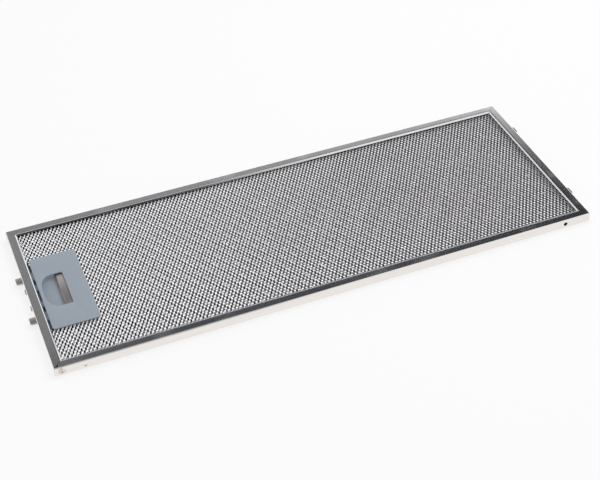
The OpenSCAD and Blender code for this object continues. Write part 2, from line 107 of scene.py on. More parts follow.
def add_camera():
    """A camera with the photograph's direction, place and lens."""
    camera = bpy.data.objects.new("camera", bpy.data.cameras.new("camera"))
    bpy.context.scene.collection.objects.link(camera)
    right, up, view = view_axes(VIEW_AZIMUTH, VIEW_ELEVATION, VIEW_ROLL)
    corner = np.array([frame_low[0], frame_low[1], frame_high[2]])
    matrix = np.eye(4)
    matrix[:3, 0], matrix[:3, 1], matrix[:3, 2] = right, up, -view
    matrix[:3, 3] = corner + CAMERA_FROM_CORNER
    camera.matrix_world = Matrix(matrix.tolist())
    camera.data.lens = LENS
    camera.data.clip_start = 0.01
    bpy.context.scene.camera = camera
    print("camera at", np.round(matrix[:3, 3], 3))


add_camera()

# %% [markdown]
# ## Shader maths as Python
# A pattern is arithmetic on coordinates. This class wraps one output socket and overloads the
# operators, so that 1 - mask * 0.5 adds the Math nodes by itself. Colours never go through it,
# because a Math node turns a colour grey: they are mixed by a Mix node instead.

# %% A socket that can be added and multiplied
class Field:
    """One number that changes over a surface, held as a shader output."""

    def __init__(self, recipe, socket):
        self.recipe = recipe
        self.socket = socket

    def math(self, operation, *values):
        return self.recipe.number("ShaderNodeMath", {"operation": operation}, self, *values)

    def __add__(self, other):
        return self.math("ADD", other)

    def __sub__(self, other):
        return self.math("SUBTRACT", other)

    def __rsub__(self, other):
        return self.recipe.number("ShaderNodeMath", {"operation": "SUBTRACT"}, other, self)

    def __mul__(self, other):
        return self.math("MULTIPLY", other)

    def __neg__(self):
        return self.math("MULTIPLY", -1.0)

    __radd__ = __add__
    __rmul__ = __mul__

    def rises(self, start, end):
        """0 up to start, 1 from end on, and a smooth step between."""
        settings = {"interpolation_type": "SMOOTHSTEP"}
        return self.recipe.number("ShaderNodeMapRange", settings, self, start, end, 0.0, 1.0)


class Recipe:
    """Builds the nodes of one material or world."""

    def __init__(self, tree):
        self.tree = tree

    def node(self, kind, settings, *inputs, **named):
        """A node of one kind with its settings, then its inputs by order and by name. A Field or a
        socket is linked, and anything else is set as a value."""
        node = self.tree.nodes.new(kind)
        for key, value in settings.items():
            setattr(node, key, value)
        slots = [socket for socket in node.inputs if socket.enabled]
        pairs = list(zip(slots, inputs)) + [(node.inputs[key], value) for key, value in named.items()]
        for slot, value in pairs:
            value = value.socket if isinstance(value, Field) else value
            if isinstance(value, bpy.types.NodeSocket):
                self.tree.links.new(value, slot)
            elif value is not None:
                slot.default_value = value
        return node

    def number(self, kind, settings, *inputs, **named):
        """The first output of such a node, as a Field."""
        return Field(self, self.node(kind, settings, *inputs, **named).outputs[0])

    def split(self, vector):
        """The three parts of a vector, as Fields."""
        parts = self.node("ShaderNodeSeparateXYZ", {}, vector)
        return [Field(self, socket) for socket in parts.outputs]

    def colour(self, factor, dark, light):
        """A colour that goes from dark to light as the factor goes from 0 to 1."""
        mix = self.node("ShaderNodeMix", {"data_type": "RGBA"})
        self.tree.links.new(factor.socket, mix.inputs["Factor"])
        for slot, value in zip([s for s in mix.inputs if s.type == "RGBA"], (dark, light)):
            if isinstance(value, bpy.types.NodeSocket):
                self.tree.links.new(value, slot)
            else:
                slot.default_value = (*value, 1.0)
        return [s for s in mix.outputs if s.type == "RGBA"][0]

    def noise(self, vector, scale, detail=2.0, stretch=(1.0, 1.0, 1.0)):
        """Smooth noise about 0.5, with the coordinates first stretched by a factor an axis."""
        moved = self.node("ShaderNodeMapping", {}, vector, Scale=stretch).outputs[0]
        return self.number("ShaderNodeTexNoise", {}, Vector=moved, Scale=scale, Detail=detail)

    def place(self, name="Object"):
        """The coordinates of a point on the piece, in metres."""
        return self.node("ShaderNodeTexCoord", {}).outputs[name]


# %% [markdown]
# ## The studio
# Bright metal shows what stands round it, so its look is made by the room and not by its colour.
# The room here is a pale sweep on every side, and directions in it run from -1 to 1 on each axis.
# On the far side the sweep is brightest low down, where the bonds of the mesh look, and greyer
# above, where the flanges look. It ends in a slanted edge under a dark ceiling, which the front
# rail shows as a dark face. A tall soft panel stands on the right. A grey strip beside it and a
# dark band on the far horizon keep half of the strands dull, and it is dark beside the camera.
# Dull surfaces are lit by an even world and one soft lamp, at a level at which a colour renders
# as it is written.

# %% Light the room
SWEEP = 0.92
TOP_LEFT = 0.2
TOP_GAIN = 0.38
FAR_LOW = 1.5
PANEL_LOW = 1.45
PANEL_HIGH = 1.05
STRIP = 0.3
HORIZON = 0.2
LEFT_DIM = 0.45
CEILING_DIM = 0.75
EDGE_SLANT = 0.3
FILL = 0.8
WHITE = (1.0, 1.0, 1.0, 1.0)
PALE_WALL = WHITE[:3]
DARK_WALL = (0.045, 0.047, 0.058)


def far_wall(x, y):
    """How far a direction lies on the far side of the room, left of the panel: 0 to 1."""
    not_right = 1.0 - x.rises(0.52, 0.66)
    return y.rises(0.15, 0.45) * not_right


def light_parts(x, y, z):
    """Brightness of the room's light parts: the sweep, then the panel, the strip beside it, the
    band on the horizon and the dimmer left, each mixed over what comes before it."""
    top_level = x * TOP_GAIN + TOP_LEFT
    far_level = FAR_LOW - z.rises(0.525, 0.575) * (FAR_LOW - top_level)
    level = SWEEP + far_wall(x, y) * (far_level - SWEEP)
    panel = x.rises(0.5, 0.62)
    panel_level = PANEL_LOW - z.rises(0.42, 0.58) * (PANEL_LOW - PANEL_HIGH)
    level = level + panel * (panel_level - level)
    strip = x.rises(0.62, 0.76) * y.rises(-0.05, 0.1) * (1.0 - y.rises(0.4, 0.56)) * z.rises(0.2, 0.3)
    level = level - strip * (level - STRIP)
    horizon = y.rises(0.76, 0.86) * (1.0 - z.rises(0.14, 0.26))
    level = level - horizon * (level - HORIZON)
    return level * (1.0 - (-x).rises(0.3, 0.45) * y.rises(0.3, 0.5) * LEFT_DIM)


def dark_parts(x, y, z):
    """Where the room is dark: above the sweep's slanted edge, and beside the camera."""
    above_edge = (z + x * EDGE_SLANT).rises(0.706, 0.732) * (1.0 - z.rises(0.82, 0.9))
    ceiling = far_wall(x, y) * above_edge * x.rises(-0.55, -0.35)
    camera_width = (1.0 - x.rises(0.2, 0.3)) * x.rises(-0.6, -0.45)
    by_camera = (-y).rises(0.25, 0.4) * z.rises(0.42, 0.5) * camera_width
    return ceiling + by_camera


def build_world():
    """The world's light by direction for glossy rays, white for the camera, even for the rest."""
    world = bpy.data.worlds.new("studio")
    bpy.context.scene.world = world
    world.use_nodes = True
    world.node_tree.nodes.clear()
    studio = Recipe(world.node_tree)
    x, y, z = studio.split(studio.place("Generated"))
    level = light_parts(x, y, z)
    dark = dark_parts(x, y, z)
    tint = studio.colour(dark, PALE_WALL, DARK_WALL)
    room_strength = level * (1.0 - dark) + dark * (1.0 - x.rises(0.36, 0.46) * CEILING_DIM)
    rays = studio.node("ShaderNodeLightPath", {}).outputs
    room = studio.node("ShaderNodeBackground", {}, Color=tint, Strength=room_strength)
    even = studio.node("ShaderNodeBackground", {}, Color=WHITE, Strength=FILL)
    white = studio.node("ShaderNodeBackground", {}, Color=WHITE, Strength=1.0)
    lit = studio.node(
        "ShaderNodeMixShader", {}, rays["Is Glossy Ray"], even.outputs[0], room.outputs[0]
    ).outputs[0]
    seen = studio.node("ShaderNodeMixShader", {}, rays["Is Camera Ray"], lit, white.outputs[0]).outputs[0]
    studio.node("ShaderNodeOutputWorld", {}, seen)


build_world()

# %% [markdown]
# A lamp and a floor complete the studio. Metal doesn't mirror the lamp, and the floor counts as
# stage, so it isn't a piece of the object.

# %% Add the lamp and the floor
LAMP_PLACE = (0.55, 0.25, 1.25)
LAMP_SIZE = 0.9
LAMP_ENERGY = 4.5
FLOOR_HALF = 4.0
WHITENED = 0.72


def add_lamp():
    """One large soft lamp above the right, which metal doesn't mirror."""
    light = bpy.data.lights.new("soft_lamp", "AREA")
    light.shape = "DISK"
    light.size = LAMP_SIZE
    light.energy = LAMP_ENERGY
    lamp = bpy.data.objects.new("soft_lamp", light)
    bpy.context.scene.collection.objects.link(lamp)
    lamp.location = LAMP_PLACE
    lamp.rotation_euler = (Vector((0, 0, 0)) - lamp.location).to_track_quat("-Z", "Y").to_euler()
    lamp.visible_glossy = False
    lamp.visible_camera = False


def add_floor():
    """A pale floor that the camera and the metal see as white, and that keeps a soft shadow."""
    mesh = bpy.data.meshes.new("floor")
    square = np.array([(-1, -1, 0), (1, -1, 0), (1, 1, 0), (-1, 1, 0)]) * FLOOR_HALF
    mesh.from_pydata(square.tolist(), [], [(0, 1, 2, 3)])
    floor = bpy.data.objects.new("floor", mesh)
    bpy.context.scene.collection.objects.link(floor)
    material = bpy.data.materials.new("pale_floor")
    material.use_nodes = True
    material.node_tree.nodes.clear()
    paint = Recipe(material.node_tree)
    rays = paint.node("ShaderNodeLightPath", {}).outputs
    dull = paint.node("ShaderNodeBsdfDiffuse", {}, Color=(0.92, 0.92, 0.92, 1.0)).outputs[0]
    white = paint.node("ShaderNodeEmission", {}, Color=WHITE, Strength=1.0).outputs[0]
    warm = paint.node("ShaderNodeEmission", {}, Color=(1.0, 0.95, 0.9, 1.0), Strength=0.98).outputs[0]
    soft_shadow = paint.node("ShaderNodeMixShader", {}, WHITENED, dull, white).outputs[0]
    camera_seen = paint.node("ShaderNodeMixShader", {}, rays["Is Camera Ray"], dull, soft_shadow).outputs[0]
    seen = paint.node("ShaderNodeMixShader", {}, rays["Is Glossy Ray"], camera_seen, warm).outputs[0]
    paint.node("ShaderNodeOutputMaterial", {}, seen)
    mesh.materials.append(material)


add_lamp()
add_floor()
bpy.context.scene.view_settings.view_transform = "Standard"
print("studio ready")

# %% [markdown]
# ## Finishes
# Every finish starts from the Principled shader. Metals keep a high reflectance and get their
# character from roughness: rolled strip has fine lines along its length, and sheet for
# expanded mesh is duller where the die has pulled it. Moulded plastic has a fine spark-eroded
# grain that a Bump node raises.

# %% Materials of the metal pieces
def principled(recipe, colour, roughness, metallic=0.0, height=None, height_m=0.0, **constants):
    """Closes a recipe with a Principled shader. The height goes through a Bump node that raises
    it by height_m metres."""
    named = {"Base Color": colour, "Roughness": roughness, "Metallic": metallic, **constants}
    if height is not None:
        bump = recipe.node("ShaderNodeBump", {}, Strength=1.0, Distance=height_m, Height=height)
        named["Normal"] = bump.outputs[0]
    shader = recipe.node("ShaderNodeBsdfPrincipled", {}, **named)
    recipe.node("ShaderNodeOutputMaterial", {}, shader.outputs[0])


def recipe_for(name):
    """An empty material and the recipe that fills it."""
    material = bpy.data.materials.new(name)
    material.use_nodes = True
    material.node_tree.nodes.clear()
    return material, Recipe(material.node_tree)


def rolled_strip():
    """Bright rolled strip: fine lines along its run, read from the strip's own map, and a few
    soft smears."""
    material, recipe = recipe_for("rolled_strip")
    run = recipe.node("ShaderNodeUVMap", {"uv_map": "strip"}).outputs[0]
    lines = recipe.noise(run, 900.0, 3.0, (0.015, 1.0, 1.0))
    smears = recipe.noise(recipe.place(), 28.0, 3.0)
    colour = recipe.colour(lines, (0.80, 0.80, 0.81), (0.88, 0.88, 0.88))
    roughness = 0.09 + lines * 0.06 + smears.rises(0.5, 0.75) * 0.08
    principled(recipe, colour, roughness, 1.0, lines, 0.000004)
    return material


def drawn_mesh(name, dark, light, roughness):
    """Expanded sheet: bright where it is flat, with a dull bloom in patches."""
    material, recipe = recipe_for(name)
    bloom = recipe.noise(recipe.place(), 60.0, 3.0)
    grain = recipe.noise(recipe.place(), 2600.0, 1.0)
    colour = recipe.colour(bloom, dark, light)
    principled(recipe, colour, roughness + grain * 0.16, 1.0, grain, 0.00002)
    return material


def brushed_sheet(name, dark, light, roughness, stretch, scale=1400.0):
    """Plain sheet metal with brush lines, long along the axis whose stretch is small."""
    material, recipe = recipe_for(name)
    lines = recipe.noise(recipe.place(), scale, 3.0, stretch)
    stains = recipe.noise(recipe.place(), 90.0, 2.0)
    colour = recipe.colour(lines * 0.6 + stains * 0.4, dark, light)
    principled(recipe, colour, roughness + lines * 0.15, 1.0, lines, 0.000008)
    return material


# %% [markdown]
# Moulded plastic isn't a metal, so its colour is its own. Then every finish is made once, in two
# colours between which its pattern runs.

# %% Materials of the moulded pieces
def moulded_plastic(name, dark, light):
    """Satin plastic with a spark-eroded grain and faint flow marks."""
    material, recipe = recipe_for(name)
    grain = recipe.noise(recipe.place(), 2200.0, 2.0)
    flow = recipe.noise(recipe.place(), 35.0, 2.0, (1.0, 0.35, 1.0))
    colour = recipe.colour(flow, dark, light)
    principled(recipe, colour, 0.46 + grain * 0.12, 0.0, grain, 0.00004)
    return material


strip_metal = rolled_strip()
front_metal = drawn_mesh("front_mesh_metal", (0.82, 0.83, 0.86), (0.93, 0.93, 0.94), 0.17)
# The back sheet is the front sheet's metal made darker: painted shade for the back of the stack, which is
# seen through the openings.
back_painted_shade = drawn_mesh("back_mesh_painted_shade", (0.60, 0.61, 0.64), (0.72, 0.72, 0.73), 0.22)
# The foils' near-black colour is painted shade, for the shade that falls inside the stack.
foil_painted_shade = drawn_mesh("foil_painted_shade", (0.05, 0.05, 0.058), (0.10, 0.10, 0.11), 0.36)
plate_plastic = moulded_plastic("plate_plastic", (0.300, 0.348, 0.400), (0.325, 0.372, 0.425))
tray_plastic = moulded_plastic("tray_plastic", (0.275, 0.318, 0.365), (0.300, 0.345, 0.395))
ACROSS = (1.0, 0.05, 1.0)
ALONG = (0.1, 1.0, 1.0)
EVEN = (1.0, 1.0, 1.0)
latch_steel = brushed_sheet("latch_steel", (0.36, 0.33, 0.325), (0.48, 0.45, 0.44), 0.36, ACROSS)
hook_steel = brushed_sheet("hook_steel", (0.07, 0.068, 0.055), (0.12, 0.115, 0.095), 0.4, ACROSS)
wire_steel = brushed_sheet("wire_steel", (0.45, 0.45, 0.46), (0.6, 0.6, 0.6), 0.25, ALONG)
screw_steel = brushed_sheet("screw_steel", (0.42, 0.42, 0.43), (0.55, 0.55, 0.56), 0.3, EVEN)
rivet_metal = brushed_sheet("rivet_metal", (0.62, 0.58, 0.55), (0.8, 0.77, 0.74), 0.22, EVEN, 900.0)
print("finishes", sorted(material.name for material in bpy.data.materials))

# %% [markdown]
# ## A mesh from arrays
# Each new piece is worked out with numpy as an array of points and an array of faces. A helper
# hands both to Blender in one go, gives the piece its finish and lets it ride on a body of the
# model, so that it moves as that body moves.

# %% Helpers that make a piece
def new_mesh(name, points, faces):
    """A mesh object from points in metres and faces, each a row of point numbers."""
    mesh = bpy.data.meshes.new(name)
    faces = np.asarray(faces)
    loops = faces.shape[1]
    mesh.vertices.add(len(points))
    mesh.vertices.foreach_set("co", np.asarray(points, np.float32).ravel())
    mesh.loops.add(faces.size)
    mesh.loops.foreach_set("vertex_index", faces.astype(np.int32).ravel())
    mesh.polygons.add(len(faces))
    mesh.polygons.foreach_set("loop_start", np.arange(0, faces.size, loops, dtype=np.int32))
    mesh.update(calc_edges=True)
    mesh.validate()
    piece = bpy.data.objects.new(name, mesh)
    bpy.context.scene.collection.objects.link(piece)
    return piece


def finish_piece(piece, material, body="filter", smooth_angle=35.0):
    """Shades the piece as one curve where faces meet at less than smooth_angle degrees, gives it
    its finish, and seats it on a body."""
    mesh = piece.data
    mesh.polygons.foreach_set("use_smooth", np.ones(len(mesh.polygons), bool))
    mesh.set_sharp_from_angle(angle=np.radians(smooth_angle))
    mesh.materials.clear()
    mesh.materials.append(material)
    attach(piece, body)
    triangles = sum(len(polygon.vertices) - 2 for polygon in mesh.polygons)
    print(piece.name, triangles, "triangles")
    return piece


def grid_faces(rows, columns, closed_rows=False, closed_columns=False):
    """Quads of a grid whose point number is row times columns plus column. A closed direction
    joins its last line to its first."""
    row = np.arange(rows if closed_rows else rows - 1)[:, None]
    column = np.arange(columns if closed_columns else columns - 1)[None, :]
    next_row = (row + 1) % rows
    next_column = (column + 1) % columns
    quads = [
        row * columns + column,
        row * columns + next_column,
        next_row * columns + next_column,
        next_row * columns + column,
    ]
    return np.stack(quads, axis=-1).reshape(-1, 4)


def apply_modifiers(piece):
    """Makes what the piece's modifiers show its own mesh."""
    shown = piece.evaluated_get(bpy.context.evaluated_depsgraph_get())
    mesh = bpy.data.meshes.new_from_object(shown)
    piece.modifiers.clear()
    piece.data = mesh


def arc(centre, radius, start, end, steps):
    """Points on an arc: centre plus radius times the cosine and sine of each angle."""
    angles = np.radians(np.linspace(start, end, steps + 1))
    return np.stack([centre[0] + radius * np.cos(angles), centre[1] + radius * np.sin(angles)], axis=-1)


# %% [markdown]
# ## The folded frame
# The real frame is one strip of bright metal: roll formed into a shallow channel with flanges
# that end in bent lips, notched, and folded round at the corners. So it is drawn as one sheet, a
# section carried round a rectangle, which Solidify then gives its thickness. The wall and its
# folds run round each corner without a break. The flanges are four separate strips that meet at
# hairline mitres, because that is where the notches close.

# %% The section of the strip
STRIP_T = 0.5 * MM
FOLD_R = 0.9 * MM
CORNER_R = 1.0 * MM
FLANGE_W = 7.2 * MM
LIP_RUN = 1.2 * MM
LIP_DROP = 1.2 * MM
LIP_END = FLANGE_W + LIP_RUN
FOLD_STEPS = 8


def half_section():
    """The outer line of the upper half, from the lip's edge over the flange and down to mid
    height, as rows of inset from the outer wall and height. The lip falls at 45 degrees from a
    bend whose centre lies one radius under the flange."""
    bend_x = FLANGE_W - FOLD_R * np.tan(np.radians(22.5))
    fold_z = depth - FOLD_R
    lip = np.array([[LIP_END, depth - LIP_DROP]])
    bend = arc((bend_x, fold_z), FOLD_R, 45, 90, FOLD_STEPS)
    flange = np.array([[inset, depth] for inset in np.linspace(bend_x, CORNER_R, 5)[1:]])
    fold = arc((FOLD_R, fold_z), FOLD_R, 90, 180, FOLD_STEPS)
    wall = np.array([[0.0, z] for z in np.linspace(fold_z, depth / 2, 4)[1:]])
    return np.concatenate([lip, bend, flange, fold, wall])


upper = half_section()
lower = upper[-2::-1] * (1, -1) + (0, depth)
section = np.concatenate([upper, lower])
inner_edge = int(np.argmin(np.abs(upper[:, 0] - CORNER_R) + (upper[:, 1] < depth)))
print("section of", len(section), "points, flange from row", inner_edge)

# %% [markdown]
# The corner where the strip's ends meet is not closed as neatly as the others. One flange falls
# short in a wedge, and the wall shows an upright slit. Rolled strip isn't quite flat either: a
# ripple of a few hundredths of a millimetre bends what it mirrors.

# %% Carry the section round the rectangle
MITRE_GAP = 0.12 * MM
SLIT = 0.08 * MM
GAPE_L = 5.0 * MM
GAPE_W = 2.0 * MM
SAMPLE = 7.0 * MM
RIPPLE = 0.03 * MM
side_starts = np.array([[0, 0], [1, 0], [1, 1], [0, 1]]) * (length, width) + frame_low[:2]
side_runs = np.array([[1, 0], [0, 1], [-1, 0], [0, -1]], float)
side_inwards = np.array([[0, 1], [-1, 0], [0, -1], [1, 0]], float)
side_lengths = np.array([length, width, length, width])


def side_points(side, along, inset, height):
    """Points of one side: start plus along times its run plus inset times its inward
    direction, at a height. All are arrays of one shape."""
    plan = (
        side_starts[side]
        + along[..., None] * side_runs[side]
        + np.broadcast_to(inset, along.shape)[..., None] * side_inwards[side]
    )
    height = np.broadcast_to(height, along.shape)
    ripple = RIPPLE * np.sin(along / (21 * MM) + 1.7 * side) * np.sin(along / (57 * MM) + inset / (9 * MM))
    clear_of_ends = np.clip((along - 9 * MM) / SAMPLE, 0, 1)
    clear_of_ends = clear_of_ends * np.clip((side_lengths[side] - 9 * MM - along) / SAMPLE, 0, 1)
    lift = ripple * clear_of_ends * np.sign(height - depth / 2)
    return np.concatenate([plan, (frame_low[2] + height + lift)[..., None]], axis=-1)


def inner_stations(side):
    """Places along a side, clear of both corners, at an even spacing."""
    clear = 12 * MM
    count = int(round((side_lengths[side] - 2 * clear) / SAMPLE))
    return np.linspace(clear, side_lengths[side] - clear, count + 1)


def corner_points(corner, inset, height, first, last):
    """The wall's rounded turn at a corner: a quarter circle of the corner radius less the
    inset, from the share first to the share last of its angle."""
    centre = side_starts[corner] + CORNER_R * (side_runs[corner] + side_inwards[corner])
    share = np.linspace(first, last, 9)[None, :]
    angle = np.radians(90.0 * share)
    radius = (CORNER_R - inset)[:, None]
    before, after = side_inwards[corner - 1], side_inwards[corner]
    plan = centre - radius[..., None] * (
        np.cos(angle)[..., None] * before + np.sin(angle)[..., None] * after
    )
    level = np.broadcast_to((frame_low[2] + height)[:, None, None], (*plan.shape[:2], 1))
    return np.concatenate([plan, level], axis=-1)


def wall_and_folds():
    """Grid of the wall with its folds: rows down the section, columns once round, from the
    middle of the first corner back to it, a slit short."""
    rows = section[inner_edge : len(section) - inner_edge]
    inset, height = rows[:, 0], rows[:, 1]
    slit_share = SLIT / (CORNER_R * np.pi / 2) / 2
    parts = [corner_points(0, inset, height, 0.5 + slit_share, 1.0)]
    for side in range(4):
        along = np.broadcast_to(inner_stations(side), (len(rows), len(inner_stations(side))))
        parts.append(side_points(side, along, inset[:, None], height[:, None]))
        if side < 3:
            parts.append(corner_points(side + 1, inset, height, 0.0, 1.0))
    parts.append(corner_points(0, inset, height, 0.0, 0.5 - slit_share))
    return np.concatenate(parts, axis=1)


def flange(side, is_upper):
    """Grid of one flange with its lip. Its ends run along the mitres, half the gap back, and the
    first flange's first end falls short in a wedge."""
    rows = section[: inner_edge + 1] if is_upper else section[len(section) - inner_edge - 1 :]
    inset, height = rows[:, 0], rows[:, 1]
    opening = np.clip((inset - CORNER_R) / MM, 0, 1) * MITRE_GAP * np.sqrt(0.5)
    start = inset + opening
    if side == 0 and is_upper:
        short = (1 - (inset - CORNER_R) / GAPE_L) * GAPE_W
        start = start + np.where(inset > CORNER_R * 1.001, np.clip(short, 0, None), 0)
    end = side_lengths[side] - inset - opening
    stations = np.broadcast_to(inner_stations(side), (len(rows), len(inner_stations(side))))
    along = np.concatenate([start[:, None], stations, end[:, None]], axis=1)
    return side_points(side, along, inset[:, None], height[:, None])


def joined(grids):
    """Points and outward quads of several grids, one after the other."""
    points = np.concatenate([grid.reshape(-1, 3) for grid in grids])
    starts = np.cumsum([0] + [grid.shape[0] * grid.shape[1] for grid in grids])
    faces = [grid_faces(*grid.shape[:2])[:, ::-1] + start for grid, start in zip(grids, starts)]
    return points, np.concatenate(faces)


def strip_map(grid):
    """For each point of a grid, the distance along the strip and the distance across it."""
    along = np.linalg.norm(np.diff(grid, axis=1), axis=-1).max(axis=0)
    across = np.linalg.norm(np.diff(grid, axis=0), axis=-1).max(axis=1)
    run = np.concatenate([[0], np.cumsum(along)])[None, :]
    rise = np.concatenate([[0], np.cumsum(across)])[:, None]
    return np.stack(np.broadcast_arrays(run, rise), axis=-1).reshape(-1, 2)


# %% [markdown]
# A few helpers work on a piece after its points are laid: one closes its seams, others give it
# thickness, break its edges or cut holes in it. Another turns a section into a round solid.

# %% Helpers that finish a sheet or a solid
def edit_mesh(piece, work_on):
    """Opens the piece's mesh for editing, works on it and puts it back."""
    work = bmesh.new()
    work.from_mesh(piece.data)
    work_on(work)
    work.to_mesh(piece.data)
    work.free()


def close_seams(piece, distance=0.002 * MM):
    """Makes points that lie together one point, which closes seams and poles."""
    edit_mesh(piece, lambda work: bmesh.ops.remove_doubles(work, verts=work.verts, dist=distance))


def face_outwards(piece):
    """Turns the faces of a closed piece outward."""
    edit_mesh(piece, lambda work: bmesh.ops.recalc_face_normals(work, faces=work.faces))


def add_map(piece, name, values):
    """A map on the piece: two numbers for each point, copied to the corners of its faces."""
    mesh = piece.data
    layer = mesh.uv_layers.new(name=name)
    corner_point = np.empty(len(mesh.loops), np.int32)
    mesh.loops.foreach_get("vertex_index", corner_point)
    layer.data.foreach_set("uv", np.asarray(values, np.float32)[corner_point].ravel())


def thicken(piece, thickness):
    """Gives a sheet its thickness behind its faces."""
    solid = piece.modifiers.new("thickness", "SOLIDIFY")
    solid.thickness = thickness
    solid.offset = -1.0
    solid.use_even_offset = True


def break_edges(piece, width, angle=50):
    """Rounds the edges where faces meet at more than an angle in degrees."""
    edge = piece.modifiers.new("edge", "BEVEL")
    edge.width = width
    edge.segments = 2
    edge.limit_method = "ANGLE"
    edge.angle_limit = np.radians(angle)


def cut_out(piece, cutters):
    """Cuts closed shapes out of the piece, makes the result its mesh and deletes the cutters."""
    for cutter in cutters:
        cut = piece.modifiers.new(cutter.name, "BOOLEAN")
        cut.operation = "DIFFERENCE"
        cut.solver = "EXACT"
        cut.object = cutter
    apply_modifiers(piece)
    for cutter in cutters:
        bpy.data.objects.remove(cutter)


def bar_between(name, low, high):
    """A closed box between two corners."""
    signs = np.array([[x, y, z] for x in (0, 1) for y in (0, 1) for z in (0, 1)])
    points = np.asarray(low) * (1 - signs) + np.asarray(high) * signs
    faces = [[0, 1, 3, 2], [4, 6, 7, 5], [0, 4, 5, 1], [2, 3, 7, 6], [0, 2, 6, 4], [1, 5, 7, 3]]
    return new_mesh(name, points, faces)


def turned(name, profile, centre, axis, sides=48):
    """A profile of radius and height turned about an axis through the centre. A profile that
    keeps off the axis is a closed line and gives a ring. One that starts and ends on it closes
    there."""
    axis = Vector(axis).normalized()
    across = axis.orthogonal().normalized()
    third = np.array(axis.cross(across))
    angles = np.linspace(0, 2 * np.pi, sides, endpoint=False)[None, :, None]
    spoke = np.cos(angles) * np.array(across) + np.sin(angles) * third
    profile = np.asarray(profile, float)
    points = np.asarray(centre) + profile[:, 0, None, None] * spoke
    points = points + profile[:, 1, None, None] * np.array(axis)
    faces = grid_faces(len(profile), sides, closed_rows=profile[0, 0] > 0, closed_columns=True)
    piece = new_mesh(name, points.reshape(-1, 3), faces)
    close_seams(piece)
    face_outwards(piece)
    return piece


def rod(name, centre, axis, radius, half_length, sides=40):
    """A closed round rod about its centre."""
    profile = [[0, -half_length], [radius, -half_length], [radius, half_length], [0, half_length]]
    return turned(name, profile, centre, axis, sides)


def as_one(name, pieces):
    """One piece from several, with what their modifiers show."""
    work = bmesh.new()
    for piece in pieces:
        apply_modifiers(piece)
        work.from_mesh(piece.data)
        bpy.data.objects.remove(piece)
    mesh = bpy.data.meshes.new(name)
    work.to_mesh(mesh)
    work.free()
    whole = bpy.data.objects.new(name, mesh)
    bpy.context.scene.collection.objects.link(whole)
    return whole


# %% [markdown]
# Holes are pierced through the walls before the strip is folded: a round one near each end of
# both long walls, and slots where the latch and the hooks pass the short walls. Here they are cut
# last, with Boolean modifiers, because a cut can ignore how the grids run. The strip's own end
# tucks in behind the front wall, and a blind rivet with a domed head holds it.

# %% Make the frame piece and its rivet
HOLE_R = 1.8 * MM
HOLE_IN = 24.0 * MM
SLOT_PLAY = 0.3 * MM
LUG_SPOT = np.array([10.5, 2.1, 1.25]) * MM
TUCK_L = 31.0 * MM
TUCK_W = 5.6 * MM
TUCK_GAP = 0.05 * MM
TONGUE_SPOT = np.array([25.2, 3.5, 0.75]) * MM
HOOK_SPOT = np.array([49.5, 4.4, 0.6]) * MM


def slot_cutter(x, y_sign, spot, play):
    """A slot through a short wall, from the distance off the middle, half width and half height
    of what passes it."""
    away, half_y, half_z = spot
    centre = np.array([x, middle[1] + y_sign * away, middle[2]])
    half = np.array([MM, half_y + play, half_z + play])
    return bar_between("slot", centre - half, centre + half)


def wall_cutters():
    """The cutters of every hole and slot in the walls."""
    holes = [
        rod("hole", (x, y, middle[2]), (0, 1, 0), HOLE_R, MM)
        for x in (frame_low[0] + HOLE_IN, frame_high[0] - HOLE_IN)
        for y in (frame_low[1], frame_high[1])
    ]
    slots = []
    for y_sign in (-1, 1):
        slots.append(slot_cutter(frame_low[0], y_sign, TONGUE_SPOT, SLOT_PLAY))
        slots.append(slot_cutter(frame_low[0], y_sign, LUG_SPOT, 0))
        slots.append(slot_cutter(frame_high[0], y_sign, HOOK_SPOT, TUCK_GAP))
    return holes + slots


def folded_strip():
    """The wall and the flanges as one sheet, mapped along the strip and given its thickness."""
    grids = [wall_and_folds()]
    grids += [flange(side, is_upper) for side in range(4) for is_upper in (True, False)]
    strip = new_mesh("strip", *joined(grids))
    add_map(strip, "strip", np.concatenate([strip_map(grid) for grid in grids]))
    close_seams(strip)
    thicken(strip, STRIP_T)
    cut_out(strip, wall_cutters())
    return strip


def tucked_end():
    """The strip's own end, flat behind the front wall."""
    behind = frame_low[1] + STRIP_T + TUCK_GAP
    low = (frame_low[0] + STRIP_T + TUCK_GAP, behind, middle[2] - TUCK_W / 2)
    high = (frame_low[0] + TUCK_L, behind + STRIP_T, middle[2] + TUCK_W / 2)
    return bar_between("tucked_end", low, high)


frame_piece = as_one("folded_frame", [folded_strip(), tucked_end()])
finish_piece(frame_piece, strip_metal)
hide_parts("frame")

rivet_low, rivet_high = corners("corner_rivet")
rivet_mid = (rivet_low + rivet_high) / 2
head_h = frame_low[1] - rivet_low[1]
head_r = (rivet_high[0] - rivet_low[0]) / 2
tail = frame_low[1] - rivet_high[1]
RIVET_BORE_R = 0.75 * MM
RIVET_SHANK_R = 1.7 * MM
TAIL_R = 2.1 * MM
RIVET_SHARES = np.array([0.0, 0.18, 0.4, 0.6, 0.78, 0.92, 1.0])


def rivet_section():
    """Closed line of the rivet: up the bore, over a dome whose height falls with the square of
    the way to its rim, in under the head and down the shank to the spread tail."""
    dome_r = RIVET_BORE_R * 1.5 + RIVET_SHARES * (head_r - RIVET_BORE_R * 1.5)
    dome_h = head_h * (1 - 0.8 * RIVET_SHARES**2)
    bore = [[RIVET_BORE_R, tail], [RIVET_BORE_R, head_h * 0.7], [RIVET_BORE_R * 1.15, head_h * 0.9]]
    shank = [[head_r, 0.0], [RIVET_SHANK_R, 0.0], [RIVET_SHANK_R, tail * 0.5]]
    spread = [[TAIL_R, tail * 0.75], [TAIL_R, tail]]
    return np.concatenate([bore, np.stack([dome_r, dome_h], axis=-1), shank, spread])


rivet = turned("rivet_head", rivet_section(), (rivet_mid[0], frame_low[1], rivet_mid[2]), (0, -1, 0))
finish_piece(rivet, rivet_metal, smooth_angle=50)
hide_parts("corner_rivet")

